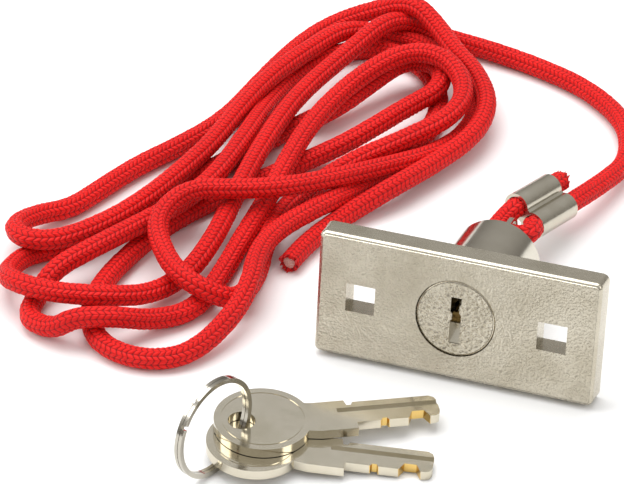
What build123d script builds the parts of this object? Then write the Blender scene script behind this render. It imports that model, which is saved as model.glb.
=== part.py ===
"""Keyed pull-out release lock: face plate with guide sleeve, lock core, crimped pull cord and two keys.

Millimetres, +Z up, floor at Z = 0, plate facing -Y.  The lock lies as it comes to rest, on the back
edge of its plate and the rear rim of its sleeve, so its own axis leans a little.  Lock parts are
drawn on planes of the lock: local x to the right, local y up the plate, local z out of its face.
"""

from math import atan2, cos, degrees, pi, radians, sin, tan
import os

from build123d import *

os.makedirs("parts", exist_ok=True)

# ---------------------------------------------------------------- driving dimensions
# Where the middle of the plate's face stands, so that the frame's origin is under the middle
# of the lock and keys together.
lock_x, lock_y = 5.46, 6.85

# Face plate
plate_w, plate_h, plate_t = 64.7, 30.0, 5.8
plate_corner_r = 1.6
plate_edge_r = 1.1
plate_draft = 2.0
square_hole = 6.7  # takes the square neck of an M6 carriage bolt
hole_pitch = 44.0

# Guide sleeve, pressed into the back of the plate
sleeve_od, bore_d = 20.4, 18.3
sleeve_end = 31.7  # its rear rim, behind the plate's face
sleeve_seat = 3.0

# Lock core, turning in the sleeve
core_d, core_len = 18.2, 29.5
core_rim_r = 0.7
keyway_w, keyway_top, keyway_low, keyway_depth = 2.4, 5.1, -2.6, 27.5
ramp_low, ramp_depth = -6.0, 3.2
wafer_w, wafer_h, wafer_t = 7.0, 15.2, 1.0
wafer_first, wafer_pitch, wafer_count = 6.0, 3.2, 6
pocket_gap = 0.1
pivot_bore_d, pivot_d, pivot_len = 6.1, 6.0, 4.6

# Tail link: a disc behind the core with an off-centre eye for the cord
tail_disc_d, tail_disc_t, tail_gap = 16.6, 2.0, 0.05
tab_t = 1.1
eye_y, eye_back = 2.4, 41.4
eye_hole_d, eye_wall = 6.4, 0.75

# Cord and its double ferrule
cord_d = 5.0
ferrule_len, tube_od, tube_pitch = 13.5, 6.5, 5.8
ferrule_near = (1.0, 3.8, -49.0)  # middle of the near end, on the lock's own axes
ferrule_heading, ferrule_fall = 19.2, 7.7  # degrees right of straight back, degrees below level
ferrule_roll = 31.0  # degrees, right tube low
loop_half_w, loop_neck = 3.9, 0.8
loop_side = 4.6
loop_setbacks = (1.1, 0.75, 3.8, 3.8, 0.75, 1.1)  # the cord folds tightly through the eye
stub_len = 4.5

# Keys and split ring
key_t, bow_r, key_len = 2.2, 10.6, 43.2  # length from hole centre to tip
bow_offset, key_hole_d = 4.6, 6.0
key_lift, key_gap = 2.4, 0.15
ring_r, ring_wire_w, ring_wire_h = 11.05, 1.1, 0.85
ring_x, ring_y, ring_z = -38.5, -47.6, 11.75
ring_heading = -20.0
upper_heading, lower_heading = 30.4, 11.8

# ---------------------------------------------------------------- placing
lean = atan2(plate_h / 2 - sleeve_od / 2, sleeve_end - plate_t)
face_z = plate_h / 2 * cos(lean) + plate_t * sin(lean)
out_of_face = Vector(0, -cos(lean), sin(lean))
up_the_face = Vector(0, sin(lean), cos(lean))
lock = Plane(origin=(lock_x, lock_y, face_z), x_dir=(1, 0, 0), z_dir=out_of_face)
lock_back = Plane(origin=lock.origin, x_dir=(1, 0, 0), z_dir=-out_of_face)


def on_lock(x, y, z):
    """A point given on the lock's own axes, in the frame."""
    return lock.origin + Vector(1, 0, 0) * x + up_the_face * y + out_of_face * z


def corner_radii(route, setbacks=None):
    """Arc radius at each corner: 0.45 of the shorter run, or the setback given, over tan of half the turn."""
    radii = []
    for i, (before, here, after) in enumerate(zip(route, route[1:], route[2:])):
        turn = radians((here - before).get_angle(after - here))
        shorter = min((here - before).length, (after - here).length)
        setback = setbacks[i] if setbacks else 0.45 * shorter
        radii.append(setback / tan(turn / 2))
    return radii


# ---------------------------------------------------------------- face plate
with BuildPart() as escutcheon_plate:
    with BuildSketch(lock.offset(-plate_t)):
        RectangleRounded(plate_w, plate_h, plate_corner_r)
    extrude(amount=plate_t, taper=plate_draft)
    face_edges = escutcheon_plate.faces().filter_by(lambda f: f.normal_at().dot(out_of_face) > 0.99)
    fillet(face_edges.edges(), plate_edge_r)
    with BuildSketch(lock.offset(-plate_t - 1)):
        with GridLocations(hole_pitch, 0, 2, 1):
            Rectangle(square_hole, square_hole)
    extrude(amount=plate_t + 2, mode=Mode.SUBTRACT)
    with BuildSketch(lock.offset(-plate_t - 1)):
        Circle(bore_d / 2)
    extrude(amount=plate_t + 2, mode=Mode.SUBTRACT)
    with BuildSketch(lock.offset(-plate_t - 1)):
        Circle(sleeve_od / 2)
    extrude(amount=1 + sleeve_seat, mode=Mode.SUBTRACT)
escutcheon_plate.part.label = "escutcheon_plate"
export_step(escutcheon_plate.part, "parts/escutcheon_plate.step")

# ---------------------------------------------------------------- guide sleeve
with BuildPart() as guide_sleeve:
    with BuildSketch(lock.offset(-sleeve_end)):
        Circle(sleeve_od / 2)
        Circle(bore_d / 2, mode=Mode.SUBTRACT)
    extrude(amount=sleeve_end - plate_t + sleeve_seat)
    rear_rim = guide_sleeve.faces().sort_by(Axis(lock.origin, out_of_face))[0]
    chamfer(rear_rim.edges(), 0.25)
guide_sleeve.part.label = "guide_sleeve"
export_step(guide_sleeve.part, "parts/guide_sleeve.step")

# ---------------------------------------------------------------- lock core
with BuildPart() as lock_core:
    with BuildSketch(lock.offset(-core_len)):
        Circle(core_d / 2)
    extrude(amount=core_len)
    front = lock_core.faces().sort_by(Axis(lock.origin, out_of_face))[-1]
    fillet(front.edges(), core_rim_r)
    # keyway, with two warding steps in its walls
    with BuildSketch(lock.offset(-keyway_depth)):
        with BuildLine():
            Polyline(
                (-keyway_w / 2, keyway_top),
                (-keyway_w / 2, 1.6),
                (-keyway_w / 2 + 0.45, 1.1),
                (-keyway_w / 2 + 0.45, -0.2),
                (-keyway_w / 2, -0.7),
                (-keyway_w / 2, keyway_low),
                (keyway_w / 2, keyway_low),
                (keyway_w / 2, 0.8),
                (keyway_w / 2 - 0.45, 1.3),
                (keyway_w / 2 - 0.45, 3.2),
                (keyway_w / 2, 3.7),
                (keyway_w / 2, keyway_top),
                close=True,
            )
        make_face()
    extrude(amount=keyway_depth + 1, mode=Mode.SUBTRACT)
    # sloping floor that leads the key in, below the slot
    side = Plane(origin=on_lock(-keyway_w / 2, 0, 0), x_dir=out_of_face, z_dir=(1, 0, 0))
    with BuildSketch(side):
        with BuildLine():
            Polyline(
                (0.5, -keyway_low),
                (-ramp_depth, -keyway_low),
                (-0.3, -ramp_low),
                (0.5, -ramp_low),
                close=True,
            )
        make_face()
    extrude(amount=keyway_w, mode=Mode.SUBTRACT)
    # shallow lens-shaped dish beside the slot
    with BuildSketch(lock.offset(-0.3)):
        with Locations((-2.0, -0.4)):
            Circle(4.6)
        with Locations((-3.4 - keyway_w / 2, -0.4)):
            Rectangle(9.2, 9.4, mode=Mode.SUBTRACT)
    extrude(amount=1.0, mode=Mode.SUBTRACT)
    # wafer pockets across the keyway
    for i in range(wafer_count):
        pocket_back = wafer_first + i * wafer_pitch + wafer_t + pocket_gap
        with BuildSketch(lock.offset(-pocket_back)):
            Rectangle(wafer_w + 2 * pocket_gap, wafer_h + 2 * pocket_gap)
        extrude(amount=wafer_t + 2 * pocket_gap, mode=Mode.SUBTRACT)
    # bearing for the tail link's pivot
    with BuildSketch(lock_back.offset(core_len - pivot_len - 0.2)):
        Circle(pivot_bore_d / 2)
    extrude(amount=pivot_len + 1, mode=Mode.SUBTRACT)
lock_core.part.label = "lock_core"
export_step(lock_core.part, "parts/lock_core.step")

# ---------------------------------------------------------------- wafers
wafer_windows = (0.5, -0.4, 0.9, 0.1, -0.7, 0.6)
with BuildPart() as wafers:
    for i in range(wafer_count):
        with BuildSketch(lock.offset(-wafer_first - i * wafer_pitch - wafer_t)):
            Rectangle(wafer_w, wafer_h)
            with Locations((0, 1.2 + wafer_windows[i])):
                Rectangle(keyway_w + 0.8, 6.4, mode=Mode.SUBTRACT)
        extrude(amount=wafer_t)
wafers.part.label = "wafers"
export_step(wafers.part, "parts/wafers.step")

# ---------------------------------------------------------------- tail link
tail_front = core_len + tail_gap
with BuildPart() as tail_link:
    with BuildSketch(lock_back.offset(tail_front)):
        Circle(tail_disc_d / 2)
    extrude(amount=tail_disc_t)
    with BuildSketch(lock_back.offset(tail_front - pivot_len)):
        Circle(pivot_d / 2)
    extrude(amount=pivot_len + 0.5)
    tab_plane = Plane(origin=on_lock(-tab_t / 2, eye_y, -eye_back), x_dir=-out_of_face, z_dir=(1, 0, 0))
    tab_reach = eye_back - tail_front - 0.5
    with BuildSketch(tab_plane):
        Circle(eye_hole_d / 2 + eye_wall)
        with Locations((-tab_reach / 2, 0)):
            Rectangle(tab_reach, eye_hole_d + 2 * eye_wall)
        Circle(eye_hole_d / 2, mode=Mode.SUBTRACT)
    extrude(amount=tab_t)
tail_link.part.label = "tail_link"
export_step(tail_link.part, "parts/tail_link.step")

# ---------------------------------------------------------------- ferrule
heading, fall, roll = radians(ferrule_heading), radians(ferrule_fall), radians(ferrule_roll)
along = Vector(sin(heading) * cos(fall), cos(heading) * cos(fall), -sin(fall))
level = Vector(cos(heading), -sin(heading), 0)
steep = level.cross(along)  # square to both, pointing up
across = level * cos(roll) - steep * sin(roll)  # from the left tube to the right one
near = on_lock(*ferrule_near)
ferrule_plane = Plane(origin=near, x_dir=across, z_dir=along)
left_x, right_x = -tube_pitch / 2, tube_pitch / 2

with BuildPart() as ferrule:
    with BuildSketch(ferrule_plane):
        with Locations((left_x, 0), (right_x, 0)):
            Circle(tube_od / 2)
        Rectangle(tube_pitch, tube_od * 0.62)
        with Locations((left_x, 0), (right_x, 0)):
            Circle(cord_d / 2, mode=Mode.SUBTRACT)
    extrude(amount=ferrule_len)
ferrule.part.label = "ferrule"
export_step(ferrule.part, "parts/ferrule.step")

# ---------------------------------------------------------------- cord at the lock
eye = on_lock(0, eye_y, -eye_back)
to_ferrule = (near - eye).normalized()
sideways = Vector(1, 0, 0)
loop_route = [
    near + across * right_x + along * ferrule_len,
    near + across * right_x - along * loop_neck,
    eye + sideways * loop_half_w + to_ferrule * loop_side,
    eye + sideways * loop_half_w,
    eye - sideways * loop_half_w,
    eye - sideways * loop_half_w + to_ferrule * loop_side,
    near + across * left_x - along * loop_neck,
    near + across * left_x + along * ferrule_len,
]
loop_radii = corner_radii(loop_route, loop_setbacks)
with BuildPart() as cord_loop:
    with BuildLine():
        FilletPolyline(*loop_route, radius=loop_radii)
    with BuildSketch(Plane(origin=loop_route[0], z_dir=-along)):
        Circle(cord_d / 2)
    sweep()
cord_loop.part.label = "cord_loop"
print("cord loop: radii", [round(r, 1) for r in loop_radii])
export_step(cord_loop.part, "parts/cord_loop.step")

with BuildPart() as cord_stub:
    with BuildSketch(ferrule_plane.offset(ferrule_len)):
        with Locations((left_x, 0)):
            Circle(cord_d / 2)
    extrude(amount=stub_len)
cord_stub.part.label = "cord_stub"
export_step(cord_stub.part, "parts/cord_stub.step")

# ---------------------------------------------------------------- cord run to the hank
# Offsets from the lock's place; the cord droops from the ferrule to the floor and curls round.
exit_point = near + across * right_x + along * ferrule_len
floor_z = cord_d / 2
hank_gate = Vector(lock_x - 33.0, lock_y + 125.5, floor_z + 0.4)
run_route = [
    exit_point,
    exit_point + along * 14.0,
    Vector(lock_x + 15.2, lock_y + 89.0, floor_z + 0.6),
    Vector(lock_x + 10.0, lock_y + 105.0, floor_z),
    Vector(lock_x - 3.0, lock_y + 116.5, floor_z),
    Vector(lock_x - 18.5, lock_y + 122.5, floor_z),
    hank_gate,
]


run_radii = corner_radii(run_route)
with BuildPart() as cord_run:
    with BuildLine() as run_line:
        FilletPolyline(*run_route, radius=run_radii)
    with BuildSketch(Plane(origin=exit_point, z_dir=along)):
        Circle(cord_d / 2)
    sweep()
cord_run.part.label = "cord_run"
export_step(cord_run.part, "parts/cord_run.step")
run_length = run_line.wires()[0].length
print("cord run: length", round(run_length, 1), "radii", [round(r, 1) for r in run_radii])
print("  volume", round(cord_run.part.volume), "section x length", round(pi * cord_d**2 / 4 * run_length))

# ---------------------------------------------------------------- hank
hank_h = 13.0
hank_outline = [
    (-114, 13), (-109, 31), (-101, 48), (-95, 70), (-88, 92), (-78, 119), (-65, 134), (-47, 136),
    (-33.6, 127.6), (-26, 110), (-20, 92), (-20, 76), (-30, 54), (-42, 33), (-46, 15), (-48, -1),
    (-54, -14), (-65, -23), (-81, -22), (-97, -16), (-109, -4),
]
with BuildPart() as cord_hank:
    with BuildSketch():
        with BuildLine():
            Polyline(*[(lock_x + x, lock_y + y) for x, y in hank_outline], close=True)
        make_face()
    extrude(amount=hank_h)
cord_hank.part.label = "cord_hank"
export_step(cord_hank.part, "parts/cord_hank.step")

# ---------------------------------------------------------------- keys
ring_at = Vector(lock_x + ring_x, lock_y + ring_y, ring_z)
ring_axis = Vector(cos(radians(ring_heading)), sin(radians(ring_heading)), 0)
ring_back = Vector(-ring_axis.Y, ring_axis.X, 0)  # level, in the ring's own plane
pile_heading = (upper_heading + lower_heading) / 2
pile_slope = atan2(key_lift, key_len)
pile_up = Vector(
    sin(pile_slope) * cos(radians(pile_heading)),
    sin(pile_slope) * sin(radians(pile_heading)),
    cos(pile_slope),
)


def key_plane(hole, heading_deg):
    """The underside of a key: x towards its tip, z up out of its face."""
    h = radians(heading_deg)
    flat = Vector(cos(h), sin(h), 0)
    return Plane(origin=hole, x_dir=flat - pile_up * flat.dot(pile_up), z_dir=pile_up)


lower_hole = Vector(ring_at.X, ring_at.Y, key_lift) + ring_back * 6.6 - ring_axis * 0.3
upper_foot = Vector(ring_at.X, ring_at.Y, 0) + ring_back * 10.0 - ring_axis * 1.0
stack = (key_t + key_gap) / pile_up.Z
upper_z = lower_hole.Z + stack - (upper_foot - lower_hole).dot(Vector(pile_up.X, pile_up.Y, 0)) / pile_up.Z
upper_hole = Vector(upper_foot.X, upper_foot.Y, upper_z)
key_places = {"key_lower": (lower_hole, lower_heading), "key_upper": (upper_hole, upper_heading)}

# Bitting: where each cut is along the blade, half the width of its floor, and how deep it goes
bitting = ((30.8, 0.5, 0.7), (38.4, 1.3, 2.1))
cut_slope = 0.5
blade_back, blade_low = 3.1, -3.9

for node, (hole, key_heading) in key_places.items():
    under = key_plane(hole, key_heading)
    with BuildPart() as key:
        with BuildSketch(under):
            with Locations((bow_offset, 0)):
                Circle(bow_r)
            # shank, shoulder tab and the notch behind the blade
            with BuildLine():
                Polyline(
                    (12.0, 4.6),
                    (15.8, 3.9),
                    (23.0, 3.9),
                    (23.4, 2.2),
                    (24.4, 2.2),
                    (24.8, blade_back),
                    (key_len - 1.5, blade_back),
                    (key_len - 0.4, blade_back - 0.7),
                    (key_len, blade_back - 1.9),
                    (key_len, blade_low + 1.6),
                    (key_len - 0.4, blade_low + 0.5),
                    (key_len - 1.3, blade_low),
                    (24.6, blade_low),
                    (24.6, -5.9),
                    (16.6, -5.9),
                    (13.0, -5.2),
                    close=True,
                )
            make_face()
            for cut_x, half_floor, depth in bitting:
                half_mouth = half_floor + cut_slope * (depth + 0.2)
                with BuildLine():
                    Polyline(
                        (cut_x - half_floor, blade_low + depth),
                        (cut_x + half_floor, blade_low + depth),
                        (cut_x + half_mouth, blade_low - 0.2),
                        (cut_x - half_mouth, blade_low - 0.2),
                        close=True,
                    )
                make_face(mode=Mode.SUBTRACT)
            Circle(key_hole_d / 2, mode=Mode.SUBTRACT)
        extrude(amount=key_t)
        # sunk border line of the bow, on its upper face
        with BuildSketch(under.offset(key_t - 0.12)):
            with Locations((bow_offset, 0)):
                Circle(bow_r - 1.5)
                Circle(bow_r - 1.8, mode=Mode.SUBTRACT)
        extrude(amount=1, mode=Mode.SUBTRACT)
        # milled groove along each side of the blade
        with BuildSketch(under.offset(key_t - 0.6)):
            with Locations(((21.0 + key_len) / 2 + 0.5, 0.6)):
                Rectangle(key_len - 21.0 + 1, 1.5)
        extrude(amount=1, mode=Mode.SUBTRACT)
        with BuildSketch(under.offset(0.6)):
            with Locations(((21.0 + key_len) / 2 + 0.5, -0.7)):
                Rectangle(key_len - 21.0 + 1, 1.0)
        extrude(amount=-1, mode=Mode.SUBTRACT)
    key.part.label = node
    export_step(key.part, f"parts/{node}.step")

# ---------------------------------------------------------------- split ring
# Two turns of flat wire pressed side by side.  A seam runs round between them, and each turn has
# its cut end, where the wire stops beside the other turn.
seam_w, seam_depth, end_gap = 0.14, 0.3, 0.9
wire_ends = ((1, 148.0), (-1, 118.0))  # which turn, and degrees round from the keys' side
with BuildPart() as split_ring:
    with BuildSketch(Plane(origin=ring_at, x_dir=ring_back, z_dir=ring_axis.cross(ring_back))):
        with Locations((ring_r, 0)):
            Rectangle(ring_wire_w, 2 * ring_wire_h)
        with Locations((ring_r - ring_wire_w / 2, 0), (ring_r + ring_wire_w / 2, 0)):
            Rectangle(2 * seam_depth, seam_w, mode=Mode.SUBTRACT)
    revolve(axis=Axis(ring_at, ring_axis), revolution_arc=360)
    for turn, around in wire_ends:
        a = radians(around)
        outwards = ring_back * cos(a) + Vector(0, 0, 1) * sin(a)
        with BuildSketch(Plane(origin=ring_at, x_dir=outwards, z_dir=ring_axis)):
            with Locations((ring_r, 0)):
                Rectangle(2 * ring_wire_w, end_gap)
        extrude(amount=turn * (ring_wire_h + 0.1), mode=Mode.SUBTRACT)
split_ring.part.label = "split_ring"
export_step(split_ring.part, "parts/split_ring.step")

# ---------------------------------------------------------------- joint axes, for the record
swing_right, swing_down = radians(6.0), radians(4.0)
aligned = (sideways * tan(swing_right) - up_the_face * tan(swing_down) - out_of_face).normalized()
swing_axis = along.cross(aligned).normalized()
swing = degrees(atan2(along.cross(aligned).length, along.dot(aligned)))
print("lean", round(degrees(lean), 3), "face_z", round(face_z, 3))
for name, v in (
    ("out_of_face", out_of_face), ("up_the_face", up_the_face), ("lock origin", lock.origin), ("eye", eye),
    ("swing axis", swing_axis), ("along", along), ("across", across), ("exit", exit_point),
    ("upper hole", upper_hole), ("lower hole", lower_hole), ("pile up", pile_up), ("ring axis", ring_axis),
    ("ring at", ring_at), ("near", near),
):
    print(name, [round(c, 5) for c in (v.X, v.Y, v.Z)])
print("swing angle", round(swing, 3))
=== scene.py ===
import math
import random

import bpy
import numpy as np
from mathutils import Matrix, Vector


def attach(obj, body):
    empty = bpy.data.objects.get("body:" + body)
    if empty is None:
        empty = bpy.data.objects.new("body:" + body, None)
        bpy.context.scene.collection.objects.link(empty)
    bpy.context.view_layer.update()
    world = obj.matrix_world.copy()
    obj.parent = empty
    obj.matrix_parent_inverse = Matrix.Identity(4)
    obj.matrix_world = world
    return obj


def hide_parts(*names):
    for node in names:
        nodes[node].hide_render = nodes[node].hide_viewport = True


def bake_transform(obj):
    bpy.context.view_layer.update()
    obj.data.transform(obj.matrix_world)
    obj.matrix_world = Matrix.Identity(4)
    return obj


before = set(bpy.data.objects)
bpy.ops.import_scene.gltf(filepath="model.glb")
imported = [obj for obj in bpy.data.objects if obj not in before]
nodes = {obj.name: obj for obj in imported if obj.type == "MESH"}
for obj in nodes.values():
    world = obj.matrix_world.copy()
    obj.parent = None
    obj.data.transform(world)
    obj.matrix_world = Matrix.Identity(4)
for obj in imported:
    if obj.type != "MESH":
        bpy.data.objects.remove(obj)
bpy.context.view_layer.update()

scene = bpy.context.scene

# ---------------------------------------------------------------- the lock's place, as in the CAD
LOCK_X, LOCK_Y = 0.00546, 0.00685
PLATE_H, PLATE_T = 0.030, 0.0058
SLEEVE_OD, SLEEVE_END = 0.0204, 0.0317
CORD_D = 0.005

# It leans back until the plate's foot and the sleeve's rear rim both touch the floor
LEAN = math.atan2(PLATE_H / 2 - SLEEVE_OD / 2, SLEEVE_END - PLATE_T)
FACE_Z = PLATE_H / 2 * math.cos(LEAN) + PLATE_T * math.sin(LEAN)
OUT = Vector((0, -math.cos(LEAN), math.sin(LEAN)))
UP = Vector((0, math.sin(LEAN), math.cos(LEAN)))


def at(x, y, z):
    """A point given from the lock's place on the floor."""
    return Vector((LOCK_X + x, LOCK_Y + y, z))


def on_lock(x, y, z):
    """A point given on the lock's own axes."""
    return Vector((LOCK_X, LOCK_Y, FACE_Z)) + Vector((1, 0, 0)) * x + UP * y + OUT * z


# ---------------------------------------------------------------- node helpers
class Tree:
    """Short calls for building a material's nodes."""

    def __init__(self, name):
        self.mat = bpy.data.materials.new(name)
        self.mat.use_nodes = True
        self.tree = self.mat.node_tree
        self.bsdf = self.tree.nodes["Principled BSDF"]

    def node(self, kind, **settings):
        made = self.tree.nodes.new(kind)
        for key, value in settings.items():
            setattr(made, key, value)
        return made

    def feed(self, socket, value):
        if isinstance(value, bpy.types.NodeSocket):
            self.tree.links.new(value, socket)
        elif value is not None:
            socket.default_value = value

    def math(self, operation, a, b=None):
        made = self.node("ShaderNodeMath", operation=operation)
        for socket, value in zip(made.inputs, (a, b)):
            self.feed(socket, value)
        return made.outputs[0]

    def dot(self, vector, direction):
        made = self.node("ShaderNodeVectorMath", operation="DOT_PRODUCT")
        self.feed(made.inputs[0], vector)
        made.inputs[1].default_value = direction
        return made.outputs["Value"]

    def spread(self, value, low, high, to_low=0.0, to_high=1.0):
        made = self.node("ShaderNodeMapRange", interpolation_type="SMOOTHSTEP")
        for socket, given in zip(made.inputs, (value, low, high, to_low, to_high)):
            self.feed(socket, given)
        return made.outputs[0]

    def noise(self, where, scale, detail=2.0, roughness=0.5):
        made = self.node("ShaderNodeTexNoise")
        self.feed(made.inputs["Vector"], where)
        made.inputs["Scale"].default_value = scale
        made.inputs["Detail"].default_value = detail
        made.inputs["Roughness"].default_value = roughness
        return made.outputs[0]

    def cells(self, where, scale, smoothness=0.6):
        made = self.node("ShaderNodeTexVoronoi", feature="SMOOTH_F1")
        self.feed(made.inputs["Vector"], where)
        made.inputs["Scale"].default_value = scale
        made.inputs["Smoothness"].default_value = smoothness
        return made.outputs["Distance"]

    def mix(self, share, a, b):
        made = self.node("ShaderNodeMix", data_type="RGBA")
        self.feed(made.inputs["Factor"], share)
        self.feed(made.inputs["A"], a)
        self.feed(made.inputs["B"], b)
        return made.outputs["Result"]

    def bump(self, height, strength, distance, normal=None):
        made = self.node("ShaderNodeBump")
        self.feed(made.inputs["Strength"], strength)
        made.inputs["Distance"].default_value = distance
        self.feed(made.inputs["Height"], height)
        self.feed(made.inputs["Normal"], normal)
        return made.outputs[0]

    def place(self, output="Object"):
        return self.node("ShaderNodeTexCoord").outputs[output]


def rgb(r, g, b):
    return (r, g, b, 1.0)


# ---------------------------------------------------------------- metals
def plated(name, light, dark, rough, grain=None, facing=None, brushed=None):
    """Nickel plate. grain is a cast surface's cell size, depth and added roughness, on faces along facing."""
    t = Tree(name)
    where = t.place()
    clouds = t.noise(where, 90.0, 4.0, 0.6)
    specks = t.noise(where, 1400.0, 2.0, 0.6)
    tint = t.mix(t.spread(clouds, 0.3, 0.75), rgb(*light), rgb(*dark))
    roughness = t.math("ADD", rough, t.math("MULTIPLY", t.math("SUBTRACT", specks, 0.5), 0.10))
    normal = t.bump(t.noise(where, 700.0, 3.0, 0.55), 0.25, 0.00002)
    if brushed is not None:
        lines = t.node("ShaderNodeMapping")
        t.feed(lines.inputs["Vector"], where)
        lines.inputs["Rotation"].default_value = brushed
        lines.inputs["Scale"].default_value = (9000.0, 260.0, 9000.0)
        fine = t.noise(lines.outputs[0], 1.0, 2.0, 0.6)
        roughness = t.math("ADD", roughness, t.math("MULTIPLY", t.math("SUBTRACT", fine, 0.5), 0.16))
        normal = t.bump(fine, 0.30, 0.00002, normal)
    if grain is not None:
        size, depth, more = grain
        mask = t.spread(t.dot(t.place("Normal"), facing), 0.90, 0.985)
        pits = t.cells(where, 1.0 / size, 0.75)
        warp = t.noise(where, 0.55 / size, 3.0, 0.6)
        height = t.math("ADD", t.math("MULTIPLY", pits, 0.9), warp)
        normal = t.bump(t.math("MULTIPLY", height, mask), 0.85, depth, normal)
        roughness = t.math("ADD", roughness, t.math("MULTIPLY", mask, more))
        # Painted shade: the pits of the cast surface are painted darker on the faces along facing
        low = t.math("MULTIPLY", t.spread(pits, 0.55, 0.15), mask)
        tint = t.mix(t.math("MULTIPLY", low, 0.22), tint, rgb(*(0.62 * c for c in dark)))
    t.feed(t.bsdf.inputs["Base Color"], tint)
    t.feed(t.bsdf.inputs["Roughness"], roughness)
    t.feed(t.bsdf.inputs["Normal"], normal)
    t.bsdf.inputs["Metallic"].default_value = 1.0
    return t


NICKEL, NICKEL_DARK = (0.62, 0.575, 0.475), (0.50, 0.455, 0.36)
plate_metal = plated("cast_nickel_fine", NICKEL, NICKEL_DARK, 0.27, (0.00045, 0.00026, 0.05), OUT)
core_metal = plated("cast_nickel_hammered", NICKEL, NICKEL_DARK, 0.20, (0.00080, 0.00042, 0.03), OUT)
sleeve_metal = plated("polished_nickel", (0.66, 0.62, 0.53), (0.58, 0.54, 0.45), 0.13)
tail_metal = plated("tail_nickel", (0.68, 0.65, 0.58), (0.58, 0.55, 0.48), 0.20)
BRUSH_TURN = (0.0, 0.0, -0.33)  # radians, about the way the ferrule points
ferrule_metal = plated("ferrule_satin", (0.60, 0.56, 0.47), (0.50, 0.46, 0.37), 0.20, brushed=BRUSH_TURN)
ring_metal = plated("ring_nickel", (0.56, 0.53, 0.46), (0.44, 0.41, 0.35), 0.14)

brass_leaf = plated("wafer_brass", (0.80, 0.60, 0.28), (0.66, 0.47, 0.20), 0.28)


# The two cuts of the bitting, from the middle of the key's hole
CUTS = ((0.0298, 0.0318), (0.0360, 0.0408))


def key_metal(name, heading, hole):
    """Plated brass, with the bare brass showing on the floors and flanks of the two cuts."""
    t = plated(name, (0.68, 0.63, 0.52), (0.60, 0.55, 0.43), 0.13)
    where = t.place()
    h = math.radians(heading)
    forward, side = Vector((math.cos(h), math.sin(h), 0)), Vector((math.sin(h), -math.cos(h), 0))
    from_hole = t.math("SUBTRACT", t.dot(where, forward), Vector(hole).dot(forward))
    inside = []
    for start, stop in CUTS:
        after_start = t.spread(from_hole, start - 0.0001, start + 0.0001)
        before_stop = t.spread(from_hole, stop + 0.0001, stop - 0.0001)
        inside.append(t.math("MULTIPLY", after_start, before_stop))
    blade = t.math("MAXIMUM", *inside)
    edge = t.spread(t.dot(t.place("Normal"), side), 0.25, 0.45)
    from_middle = t.math("SUBTRACT", t.dot(where, side), Vector(hole).dot(side))
    low_edge = t.spread(from_middle, 0.0013, 0.0016)
    cut = t.math("MULTIPLY", t.math("MULTIPLY", blade, edge), low_edge)
    plain = t.bsdf.inputs["Base Color"].links[0].from_socket
    t.feed(t.bsdf.inputs["Base Color"], t.mix(cut, plain, rgb(0.72, 0.50, 0.17)))
    return t


key_upper_metal = key_metal("key_upper_plated", 30.4, (-0.03056, -0.03101, 0.00466))
key_lower_metal = key_metal("key_lower_plated", 11.8, (-0.03106, -0.03445, 0.0024))

for name, tree in {
    "escutcheon_plate": plate_metal,
    "guide_sleeve": sleeve_metal,
    "lock_core": core_metal,
    "wafers": brass_leaf,
    "tail_link": tail_metal,
    "ferrule": ferrule_metal,
    "key_upper": key_upper_metal,
    "key_lower": key_lower_metal,
    "split_ring": ring_metal,
}.items():
    data = nodes[name].data
    data.materials.clear()
    data.materials.append(tree.mat)

# ---------------------------------------------------------------- knitted cord material
WALES = 7  # ribs round the cord
STITCH = 0.0013  # one stitch along it


def knitted():
    """Red polyester, each rib a column of V stitches. The map "knit" is metres along and turns round."""
    t = Tree("red_knit")
    uv = t.node("ShaderNodeUVMap", uv_map="knit")
    parts = t.node("ShaderNodeSeparateXYZ")
    t.feed(parts.inputs[0], uv.outputs[0])
    along, round_ = parts.outputs[0], parts.outputs[1]
    where = t.place()
    stir = t.math("MULTIPLY", t.math("SUBTRACT", t.noise(where, 420.0, 2.0, 0.5), 0.5), 0.55)
    column = t.math("FRACT", t.math("MULTIPLY", round_, float(WALES)))
    leg = t.math("ABSOLUTE", t.math("SUBTRACT", t.math("MULTIPLY", column, 2.0), 1.0))
    row = t.math("ADD", t.math("DIVIDE", along, STITCH), t.math("MULTIPLY", leg, 0.55))
    row = t.math("ADD", row, stir)
    loop = t.math("ABSOLUTE", t.math("SINE", t.math("MULTIPLY", row, math.pi)))
    loop = t.math("POWER", loop, 0.6)
    rib = t.math("SUBTRACT", 1.0, t.math("MULTIPLY", t.math("POWER", leg, 4.0), 0.75))
    middle = t.spread(leg, 0.0, 0.22, 0.55, 1.0)
    height = t.math("MULTIPLY", t.math("MULTIPLY", loop, rib), middle)
    yarn = t.noise(where, 5200.0, 3.0, 0.7)
    height = t.math("ADD", height, t.math("MULTIPLY", yarn, 0.22))
    t.feed(t.bsdf.inputs["Normal"], t.bump(height, 0.95, 0.00034))
    fade = t.noise(where, 60.0, 3.0, 0.5)
    lit = t.mix(t.spread(fade, 0.35, 0.7), rgb(0.82, 0.009, 0.007), rgb(0.72, 0.006, 0.005))
    # Painted shade: the valleys between the stitches are painted a deep dark red, darker the lower the relief
    painted_crevice_shade = rgb(0.20, 0.001, 0.003)
    t.feed(t.bsdf.inputs["Base Color"], t.mix(t.spread(height, 0.12, 0.72), painted_crevice_shade, lit))
    t.feed(t.bsdf.inputs["Roughness"], t.spread(yarn, 0.3, 0.7, 0.50, 0.66))
    t.bsdf.inputs["Specular IOR Level"].default_value = 0.25
    t.bsdf.inputs["Sheen Weight"].default_value = 0.04
    t.bsdf.inputs["Sheen Roughness"].default_value = 0.4
    t.bsdf.inputs["Sheen Tint"].default_value = rgb(1.0, 0.42, 0.38)
    t.bsdf.inputs["Subsurface Weight"].default_value = 0.08
    t.bsdf.inputs["Subsurface Radius"].default_value = (0.0008, 0.0002, 0.0002)
    return t.mat


red_knit = knitted()


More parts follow.
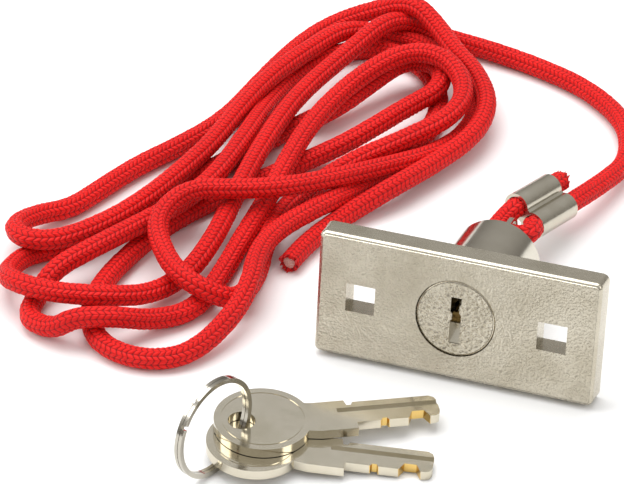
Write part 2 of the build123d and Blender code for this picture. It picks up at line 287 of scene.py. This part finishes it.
def core_yarn():
    """The off-white filling that shows at the cut end."""
    t = Tree("core_yarn")
    where = t.place()
    strands = t.cells(where, 3200.0, 0.3)
    tint = t.mix(t.spread(strands, 0.1, 0.6), rgb(0.80, 0.66, 0.58), rgb(0.62, 0.30, 0.26))
    t.feed(t.bsdf.inputs["Base Color"], tint)
    t.feed(t.bsdf.inputs["Roughness"], t.spread(t.noise(where, 2600.0), 0.3, 0.7, 0.6, 0.85))
    t.feed(t.bsdf.inputs["Normal"], t.bump(strands, 0.8, 0.0002))
    return t.mat


white_core = core_yarn()

# ---------------------------------------------------------------- cord geometry
RING_STEP = STITCH / 2
SIDES = WALES * 4


def spline_line(name, points):
    """The smooth line of a NURBS spline over its control points, as points about 0.65 mm apart."""
    curve = bpy.data.curves.new(name, "CURVE")
    curve.dimensions = "3D"
    curve.resolution_u = 16
    spline = curve.splines.new("NURBS")
    spline.points.add(len(points) - 1)
    for control, place in zip(spline.points, points):
        control.co = (*place, 1.0)
    spline.order_u = 3
    spline.use_endpoint_u = True
    holder = bpy.data.objects.new(name, curve)
    scene.collection.objects.link(holder)
    bpy.context.view_layer.update()
    mesh = bpy.data.meshes.new_from_object(holder)
    found = np.array([v.co for v in mesh.vertices], float)
    bpy.data.objects.remove(holder)
    bpy.data.meshes.remove(mesh)
    gone = np.concatenate([[0.0], np.cumsum(np.linalg.norm(np.diff(found, axis=0), axis=1))])
    count = max(4, int(round(gone[-1] / RING_STEP)))
    steps = np.linspace(0.0, gone[-1], count + 1)
    return np.stack([np.interp(steps, gone, found[:, i]) for i in range(3)], 1)


def carried_frames(line):
    """Two directions square to the line at each point, turning as little as they can."""
    tangent = np.gradient(line, axis=0)
    tangent /= np.linalg.norm(tangent, axis=1)[:, None]
    first = np.cross(tangent[0], (0.0, 0.0, 1.0))
    first /= np.linalg.norm(first)
    a = [first]
    for t in tangent[1:]:
        turned = a[-1] - t * a[-1].dot(t)
        a.append(turned / np.linalg.norm(turned))
    a = np.array(a)
    return a, np.cross(tangent, a), tangent


def knit_tube(name, line, frames, start=0, stop=None, rows=1, ends=(False, False), radius=CORD_D / 2, seed=1):
    """A knitted tube from one point of the line to another. ends says which of its ends is a cut one."""
    stop = len(line) - 1 if stop is None else stop
    a, b, tangent = frames
    rng = np.random.default_rng(seed)
    count = stop - start + 1
    theta = np.arange(SIDES) * 2 * np.pi / SIDES
    leg = np.abs(2 * ((np.arange(SIDES) / 4.0) % 1.0) - 1)
    row = (np.arange(start, stop + 1) / 2.0)[:, None] + 0.55 * leg[None, :]
    loop = np.abs(np.sin(np.pi * row)) ** 0.7
    rib = 1 - leg**2
    relief = radius * (0.90 + 0.075 * rib[None, :] + 0.045 * loop * (0.35 + 0.65 * rib[None, :]) - 0.02)
    relief *= 1 + 0.012 * rng.standard_normal(relief.shape)
    ring = line[start : stop + 1]
    side_a, side_b = a[start : stop + 1, None], b[start : stop + 1, None]
    spokes = np.cos(theta)[None, :, None] * side_a + np.sin(theta)[None, :, None] * side_b
    places = ring[:, None] + spokes * relief[:, :, None]
    for end, k, sign in ((ends[0], 0, -1), (ends[1], count - 1, 1)):
        if end:
            push = rng.uniform(-0.1, 0.9, SIDES) * 0.0007 * sign
            places[k] += push[:, None] * tangent[start + k]
            places[k] = ring[k] + (places[k] - ring[k]) * (1 + 0.10 * rng.uniform(-1, 1, SIDES)[:, None])
    verts = places.reshape(-1, 3).tolist()
    faces, knit, baked = [], [], []
    per_row = math.ceil((count - 1) / rows)
    for i in range(count - 1):
        r = i // per_row
        u0, u1 = (i - r * per_row) / per_row, (i + 1 - r * per_row) / per_row
        low = r / rows + 0.03 / rows
        tall = 0.94 / rows
        for j in range(SIDES):
            n = (j + 1) % SIDES
            faces.append((i * SIDES + j, i * SIDES + n, (i + 1) * SIDES + n, (i + 1) * SIDES + j))
            s0, s1 = (start + i) * RING_STEP, (start + i + 1) * RING_STEP
            v0, v1 = j / SIDES, (j + 1) / SIDES
            knit += [(s0, v0), (s0, v1), (s1, v1), (s1, v0)]
            y0, y1 = low + v0 * tall, low + v1 * tall
            baked += [(u0, y0), (u0, y1), (u1, y1), (u1, y0)]
    for k, sign in ((0, -1), (count - 1, 1)):
        cut = ends[0] if k == 0 else ends[1]
        centre = len(verts)
        verts.append((ring[k] + tangent[start + k] * sign * (-0.0004 if cut else 0.0)).tolist())
        for j in range(SIDES):
            n = (j + 1) % SIDES
            one, two = k * SIDES + j, k * SIDES + n
            faces.append((two, one, centre) if k == 0 else (one, two, centre))
            knit += [((start + k) * RING_STEP, j / SIDES)] * 3
            baked += [(0.0, 0.0), (0.001, 0.0), (0.0, 0.001)]
    mesh = bpy.data.meshes.new(name)
    mesh.from_pydata(verts, [], faces)
    mesh.polygons.foreach_set("use_smooth", [True] * len(mesh.polygons))
    for label, pairs in (("OFBake", baked), ("knit", knit)):
        layer = mesh.uv_layers.new(name=label)
        layer.data.foreach_set("uv", np.array(pairs, np.float32).ravel())
    mesh.materials.append(red_knit)
    mesh.update()
    made = bpy.data.objects.new(name, mesh)
    scene.collection.objects.link(made)
    return made


def joined(name, pieces, material):
    """One mesh object from (vertices, faces) lists."""
    verts, faces = [], []
    for v, f in pieces:
        base = len(verts)
        verts += [tuple(p) for p in v]
        faces += [tuple(i + base for i in face) for face in f]
    mesh = bpy.data.meshes.new(name)
    mesh.from_pydata(verts, [], faces)
    mesh.polygons.foreach_set("use_smooth", [True] * len(mesh.polygons))
    mesh.materials.append(material)
    made = bpy.data.objects.new(name, mesh)
    scene.collection.objects.link(made)
    return made


def hair(line, radius, sides=6):
    """A thin tube along a few points, pointed at its end."""
    a, b, _ = carried_frames(np.array(line))
    verts, faces = [], []
    for k, p in enumerate(line):
        r = radius * (1.0 if k < len(line) - 1 else 0.35)
        for j in range(sides):
            w = 2 * math.pi * j / sides
            verts.append(np.array(p) + (a[k] * math.cos(w) + b[k] * math.sin(w)) * r)
    for k in range(len(line) - 1):
        for j in range(sides):
            n = (j + 1) % sides
            faces.append((k * sides + j, k * sides + n, (k + 1) * sides + n, (k + 1) * sides + j))
    faces.append(tuple(range(sides))[::-1])
    faces.append(tuple((len(line) - 1) * sides + j for j in range(sides)))
    return verts, faces


def frayed(name, centre, outward, a, b, count, length, seed, rim=0.0021):
    """Short loose yarns round a cut end."""
    rng = random.Random(seed)
    centre, outward, a, b = (np.array(x, float) for x in (centre, outward, a, b))
    pieces = []
    for k in range(count):
        w = 2 * math.pi * (k + rng.uniform(-0.35, 0.35)) / count
        spoke = a * math.cos(w) + b * math.sin(w)
        root = centre + spoke * rim * rng.uniform(0.75, 1.0) - outward * 0.0006
        reach = length * rng.uniform(0.45, 1.0)
        lean = spoke * rng.uniform(0.0, 0.55) + np.cross(outward, spoke) * rng.uniform(-0.5, 0.5)
        tip = root + outward * (reach + 0.0006) + lean * reach
        mid = (root + tip) / 2 + outward * reach * 0.15
        pieces.append(hair([root, mid, tip], 0.00030 * rng.uniform(0.7, 1.1)))
    return joined(name, pieces, red_yarn)


def loose_yarn():
    t = Tree("red_yarn")
    where = t.place()
    twist = t.noise(where, 3800.0, 3.0, 0.6)
    tint = t.mix(t.spread(twist, 0.3, 0.7), rgb(0.34, 0.003, 0.005), rgb(0.80, 0.014, 0.016))
    t.feed(t.bsdf.inputs["Base Color"], tint)
    t.feed(t.bsdf.inputs["Roughness"], t.spread(twist, 0.3, 0.7, 0.5, 0.7))
    t.feed(t.bsdf.inputs["Normal"], t.bump(twist, 0.6, 0.0002))
    return t.mat


red_yarn = loose_yarn()

# ---------------------------------------------------------------- the long cord
HEADING, FALL, ROLL = math.radians(19.2), math.radians(7.7), math.radians(31.0)
LEVEL = Vector((math.cos(HEADING), -math.sin(HEADING), 0))
AHEAD = Vector((math.sin(HEADING), math.cos(HEADING), 0))
ALONG = AHEAD * math.cos(FALL) - Vector((0, 0, math.sin(FALL)))  # the way the ferrule points
ACROSS = LEVEL * math.cos(ROLL) + ALONG.cross(LEVEL) * math.sin(ROLL)  # from its left tube to its right
NEAR = Vector((0.00646, 0.05572, 0.01061))  # middle of its near end
FERRULE, HALF_PITCH = 0.0135, 0.0029
cord_exit = NEAR + ACROSS * HALF_PITCH + ALONG * FERRULE

run = [
    cord_exit,
    cord_exit + ALONG * 0.014,
    at(0.0152, 0.0890, 0.0031),
    at(0.0100, 0.1050, 0.0025),
    at(-0.0030, 0.1165, 0.0025),
    at(-0.0185, 0.1225, 0.0025),
    at(-0.0330, 0.1255, 0.0029),
]

# The hank, as the cord was dropped, in millimetres from the lock: each turn is a pass to the left,
# a fold and a pass back.
hank = [
    # in at the top, under the last turn, then down over the floor strands to the far left
    (-46, 128, 2.5),
    (-52, 128, 5),
    (-57, 121, 9),
    (-62, 106, 7.5),
    (-67, 86, 7.5),
    (-68, 70, 7.5),
    (-68, 54, 7),
    (-67, 38, 6.5),
    (-66, 24, 6),
    (-68, 12, 3.5),
    (-73, 2, 3.5),
    (-81, -6, 7),
    (-92, -9, 7.5),
    (-101, -9, 8),
    (-107, -3, 5),
    (-107, 8, 2.5),
    # back along the floor to the small inner fold on the right
    (-101, 13, 2.5),
    (-93, 25, 2.5),
    (-86, 39, 2.5),
    (-79, 54, 2.5),
    (-72, 67, 2.5),
    (-65, 79, 2.5),
    (-58, 87, 4),
    (-53, 98, 5.5),
    (-48, 108, 7),
    (-39, 109, 7),
    (-35, 99, 7),
    (-41, 89, 6.5),
    (-45, 80, 6.5),
    (-51, 71, 5),
    (-59, 63, 3),
    # on the floor to the fold nearest the keys
    (-66, 54, 2.5),
    (-73, 44, 2.5),
    (-80, 31, 2.5),
    (-84, 17, 2.5),
    (-86, 3, 2.5),
    (-84, -9, 2.5),
    (-77, -18, 2.5),
    (-66, -20, 2.5),
    (-57, -15, 2.5),
    (-52, -3, 5),
    # up the inner side and round the top on the floor
    (-51, 8, 7.5),
    (-54, 20, 7.5),
    (-53, 32, 6.5),
    (-46, 45, 6.5),
    (-42, 58, 3),
    (-37, 72, 2.5),
    (-34, 88, 2.5),
    (-36, 101, 2.5),
    (-43, 112, 2.5),
    (-54, 118, 2.5),
    # down under the first strand, then over to the lower left fold
    (-65, 115, 2.5),
    (-73, 103, 2.5),
    (-75, 88, 2.5),
    (-74, 76, 5.5),
    (-73, 63, 7.5),
    (-74, 46, 7),
    (-78, 33, 7),
    (-84, 21, 7.5),
    (-90, 9, 8),
    (-96, 1, 6.5),
    (-98, -5, 2.5),
    (-97, -14, 2.5),
    (-89, -17, 3.5),
    # up the middle to the highest fold
    (-84, -16, 7.5),
    (-76, -13, 7.5),
    (-69, -6, 3),
    (-62, 1, 2.5),
    (-61, 14, 2.5),
    (-61, 28, 3.5),
    (-60, 42, 5.5),
    (-60, 56, 7.5),
    (-60, 70, 8),
    (-58, 84, 8.5),
    (-53, 96, 10.5),
    (-46, 106, 11.5),
    (-36, 106, 11.5),
    (-28, 97, 9.5),
    (-28, 85, 9),
    (-36, 74, 8),
    (-46, 65, 5.5),
    (-53, 56, 2.5),
    # under the strand that lies across the top
    (-57, 44, 2.5),
    (-56, 30, 2.5),
    (-53, 17, 2.5),
    (-54, 6, 3),
    # the small loop on the left, and the strand across the top
    (-64, 3, 8.5),
    (-73, 11, 8),
    (-80, 22, 9.5),
    (-76, 33, 12),
    (-65, 37, 11.5),
    (-55, 42, 11),
    (-46, 52, 9),
    (-37, 64, 6.5),
    (-29, 76, 4),
    (-25, 90, 2.5),
    (-27, 104, 2.5),
    (-36, 115, 2.5),
    (-47, 123, 2.5),
    (-58, 124, 2.5),
    # down the outer left side
    (-67, 119, 6),
    (-72, 105, 7),
    (-77, 90, 7),
    (-79, 74, 7),
    (-80, 58, 7),
    (-83, 44, 7),
    (-87, 30, 7),
    (-93, 18, 7),
    (-100, 10, 7),
    (-107, 8, 7.5),
    # the outermost turn, over the lead-in and round to the cut end
    (-112, 13, 6.5),
    (-110, 22, 4),
    (-104, 29, 2.5),
    (-101, 37, 2.5),
    (-96, 50, 2.5),
    (-89, 62, 2.5),
    (-83, 75, 2.5),
    (-81, 90, 2.5),
    (-79, 104, 2.5),
    (-76, 117, 2.5),
    (-71, 126, 3),
    (-63, 129, 6),
    (-52, 128, 11.5),
    (-44, 123, 8.5),
    (-37, 115, 7.5),
    (-29, 108, 7),
    (-22, 96, 6.5),
    (-22, 83, 6),
    (-28, 70, 5),
    (-34, 57, 5.5),
    (-42, 47, 2.5),
    (-47, 34, 2.5),
    (-48, 25, 2.5),
]
line = spline_line("cord_line", run + [at(x / 1000, y / 1000, z / 1000) for x, y, z in hank])
frames = carried_frames(line)

LEAD = 0.028  # the length of the cord's first piece, from the ferrule
MAP_ROWS = 14  # the long piece's OFBake UV map is folded into so many rows
split = int(round(LEAD / RING_STEP))
cord_lead = knit_tube("cord_lead", line, frames, 0, split, rows=1)
cord_long = knit_tube("cord_long", line, frames, split, rows=MAP_ROWS, ends=(False, True))
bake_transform(cord_lead)
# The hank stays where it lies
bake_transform(cord_long)
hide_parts("cord_run", "cord_hank")

# The cut end, with its filling showing and a few loose yarns
end, end_a, end_b, end_out = line[-1], frames[0][-1], frames[1][-1], frames[2][-1]
dome = []
dome_faces = []
for k in range(5):
    w = k / 4 * math.pi / 2
    for j in range(16):
        q = 2 * math.pi * j / 16
        r = 0.00155 * math.cos(w) * (1 + 0.06 * math.sin(3 * q + 1))
        spoke = (end_a * math.cos(q) + end_b * math.sin(q)) * r
        dome.append(end + end_out * (0.00045 * math.sin(w) - 0.0001) + spoke)
for k in range(4):
    for j in range(16):
        n = (j + 1) % 16
        dome_faces.append((k * 16 + j, k * 16 + n, (k + 1) * 16 + n, (k + 1) * 16 + j))
dome_faces.append(tuple(range(16))[::-1])
cord_core = joined("cord_core", [(dome, dome_faces)], white_core)
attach(cord_core, "housing")
end_yarns = frayed("cord_end_yarns", end, end_out, end_a, end_b, 18, 0.0010, 5)
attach(end_yarns, "housing")

# ---------------------------------------------------------------- the loop through the eye, and the stub
eye = on_lock(0, 0.0024, -0.0414)
to_ferrule = (NEAR - eye).normalized()
side = Vector((1, 0, 0))
loop_line = spline_line(
    "loop_line",
    [
        NEAR + ACROSS * HALF_PITCH + ALONG * 0.0125,
        NEAR + ACROSS * HALF_PITCH + ALONG * 0.0040,
        NEAR + ACROSS * HALF_PITCH - ALONG * 0.0008,
        eye + side * 0.0039 + to_ferrule * 0.0046,
        eye + side * 0.0039,
        eye - side * 0.0039,
        eye - side * 0.0039 + to_ferrule * 0.0046,
        NEAR - ACROSS * HALF_PITCH - ALONG * 0.0008,
        NEAR - ACROSS * HALF_PITCH + ALONG * 0.0040,
        NEAR - ACROSS * HALF_PITCH + ALONG * 0.0125,
    ],
)
loop_frames = carried_frames(loop_line)
LOOP_R = CORD_D / 2 * 0.985  # pressed a little by the crimp
cord_loop = knit_tube("cord_through_eye", loop_line, loop_frames, rows=2, radius=LOOP_R)
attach(cord_loop, "ferrule")
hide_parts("cord_loop")

stub_from = NEAR - ACROSS * HALF_PITCH + ALONG * 0.0115
stub_line = spline_line("stub_line", [stub_from, stub_from + ALONG * 0.0030, stub_from + ALONG * 0.0062])
stub_frames = carried_frames(stub_line)
cord_stub = knit_tube("cord_cut_stub", stub_line, stub_frames, ends=(False, True), seed=3)
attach(cord_stub, "ferrule")
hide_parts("cord_stub")
stub_a, stub_b, stub_out = (way[-1] for way in stub_frames)
stub_yarns = frayed("stub_yarns", stub_line[-1], stub_out, stub_a, stub_b, 30, 0.0013, 9, rim=0.0019)
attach(stub_yarns, "ferrule")

# ---------------------------------------------------------------- floor, light and camera
bpy.ops.mesh.primitive_plane_add(size=8.0, location=(0, 0, 0))
floor = bpy.context.object
floor.name = "floor"
pale = Tree("pale_floor")
paper = pale.noise(pale.place(), 3.0, 2.0)
pale.feed(pale.bsdf.inputs["Base Color"], pale.mix(paper, rgb(0.93, 0.93, 0.93), rgb(0.90, 0.90, 0.90)))
pale.bsdf.inputs["Roughness"].default_value = 0.9
floor.data.materials.append(pale.mat)

world = bpy.data.worlds.new("studio")
scene.world = world
world.use_nodes = True
sky = world.node_tree
background = sky.nodes["Background"]
direction = sky.nodes.new("ShaderNodeTexCoord")
split_xyz = sky.nodes.new("ShaderNodeSeparateXYZ")
ramp = sky.nodes.new("ShaderNodeValToRGB")
sky.links.new(direction.outputs["Generated"], split_xyz.inputs[0])
sky.links.new(split_xyz.outputs[2], ramp.inputs[0])
sky.links.new(ramp.outputs[0], background.inputs[0])
ramp.color_ramp.elements[0].position = 0.0
ramp.color_ramp.elements[0].color = rgb(0.30, 0.28, 0.26)
ramp.color_ramp.elements[1].position = 0.75
ramp.color_ramp.elements[1].color = rgb(1.0, 1.0, 1.0)
middle = ramp.color_ramp.elements.new(0.28)
middle.color = rgb(0.62, 0.60, 0.57)
background.inputs[1].default_value = 0.66


def lamp(name, place, target, size, power, colour=(1, 1, 1)):
    data = bpy.data.lights.new(name, "AREA")
    data.shape = "RECTANGLE"
    data.size, data.size_y = size
    data.energy = power
    data.color = colour
    made = bpy.data.objects.new(name, data)
    made.location = place
    made.rotation_euler = (Vector(target) - Vector(place)).to_track_quat("-Z", "Y").to_euler()
    scene.collection.objects.link(made)
    return made


lamp("top_softbox", (-0.25, 0.35, 1.1), (-0.02, 0.03, 0), (1.1, 0.9), 11.5)
lamp("left_softbox", (-0.9, -0.25, 0.55), (-0.02, 0.0, 0), (0.5, 0.8), 4.0)
lamp("right_card", (0.95, -0.15, 0.6), (0.0, 0.0, 0), (0.35, 0.7), 2.2)
lamp("front_card", (0.1, -1.1, 0.25), (0.0, 0.0, 0.01), (0.7, 0.25), 0.8, (1.0, 0.97, 0.92))

camera_data = bpy.data.cameras.new("camera")
camera_data.sensor_fit = "HORIZONTAL"
camera_data.sensor_width = 36.0
camera_data.lens = 207.7
camera_data.clip_start = 0.05
camera = bpy.data.objects.new("camera", camera_data)
right = Vector((0.94131, 0.33725, -0.01404)).normalized()
up = Vector((-0.18658, 0.55454, 0.81097)).normalized()
back = right.cross(up).normalized()
up = back.cross(right)
camera.matrix_world = Matrix(
    [
        (right.x, up.x, back.x, 0.19433),
        (right.y, up.y, back.y, -0.59339),
        (right.z, up.z, back.z, 0.49043),
        (0, 0, 0, 1),
    ]
)
scene.collection.objects.link(camera)
scene.camera = camera

scene.view_settings.view_transform = "Standard"
scene.view_settings.look = "None"
